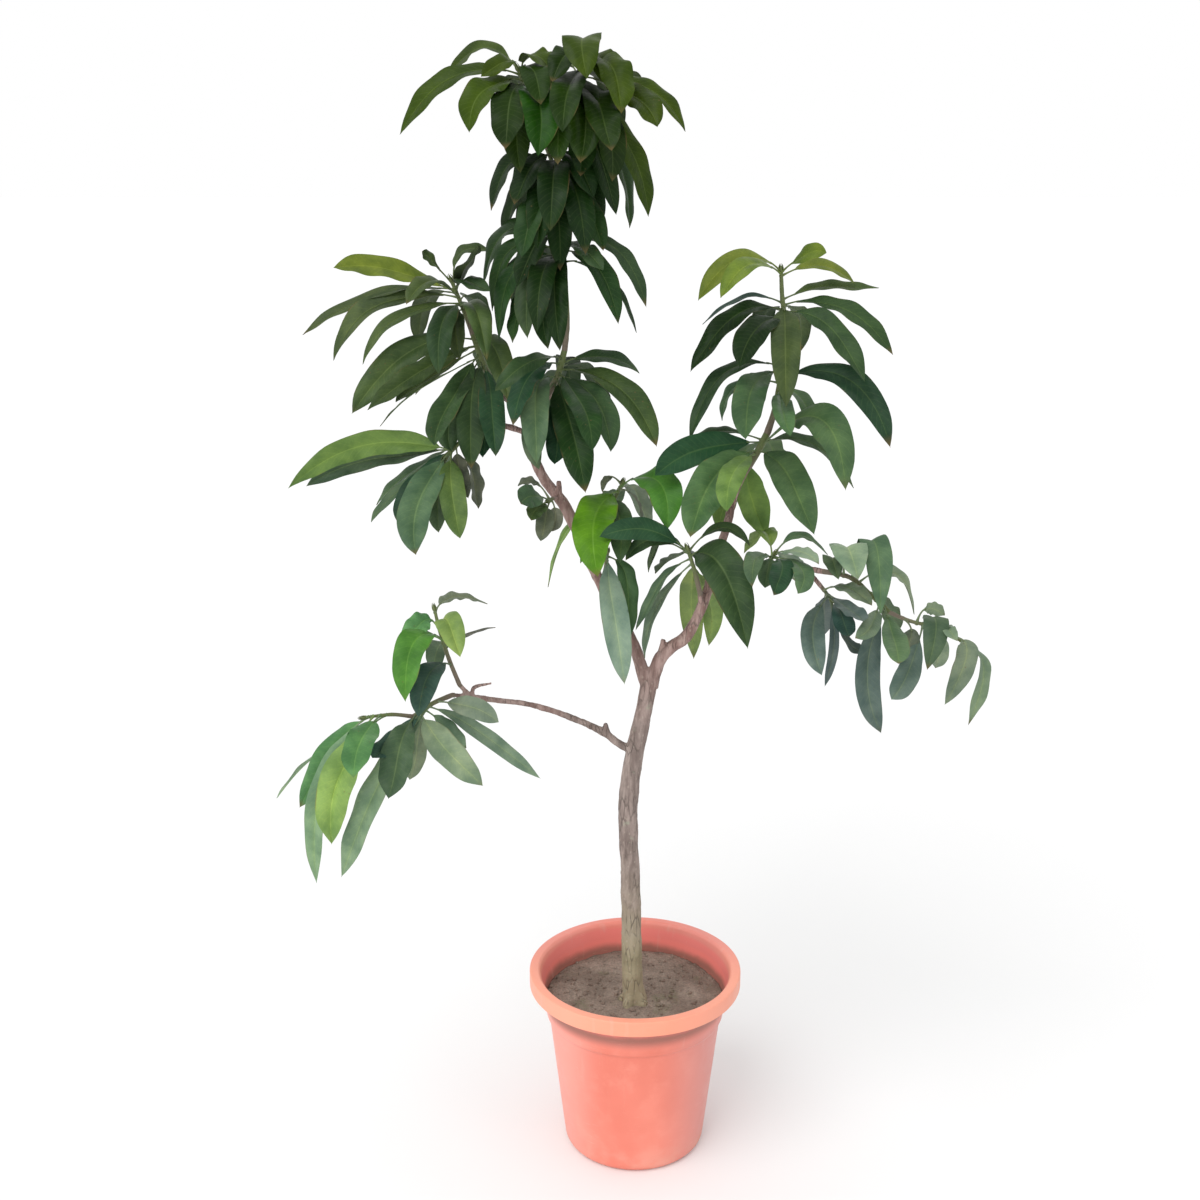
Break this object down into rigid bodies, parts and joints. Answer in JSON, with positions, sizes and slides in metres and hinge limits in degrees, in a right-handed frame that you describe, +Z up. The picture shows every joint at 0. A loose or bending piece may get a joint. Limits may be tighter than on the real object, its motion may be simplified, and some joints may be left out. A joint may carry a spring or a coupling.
{
  "type": "potted mango tree",
  "caption": "Young mango tree in a tapered plastic nursery pot: forked woody trunk, low side branches and whorls of long drooping leaves.",
  "frame": {"origin": "centre of the pot's flat base, on the ground", "axes": "+Z up along the trunk, -Y towards the viewer of the picture, +X to the viewer's right"},
  "size_m": [0.9252, 0.5345, 1.5235],
  "materials": {
    "pot_plastic": "satin",
    "soil": "matte",
    "bark": "matte",
    "leaf": "satin",
    "young_leaf": "satin"
  },
  "bodies": {
    "root": {"pot": "pot_plastic", "soil": "soil", "trunk_and_limbs": "bark", "fourth_whorl": "leaf", "third_whorl": "leaf", "second_whorl": "leaf", "top_whorl": "leaf", "top_left_whorl": "leaf", "left_lower_whorl": "leaf", "left_upper_whorl": "leaf", "left_hanging_whorl": "leaf", "limb_sprig": "leaf", "centre_whorl": "young_leaf", "centre_low_whorl": "leaf", "inner_whorl": "leaf", "right_lower_whorl": "leaf", "right_middle_whorl": "leaf", "right_top_whorl": "leaf", "right_low_first_whorl": "leaf", "right_low_under_whorl": "leaf", "right_low_whorl": "leaf", "right_low_end_whorl": "leaf", "low_upper_whorl": "leaf", "low_middle_whorl": "leaf", "low_end_whorl": "leaf"}
  },
  "joints": []
}
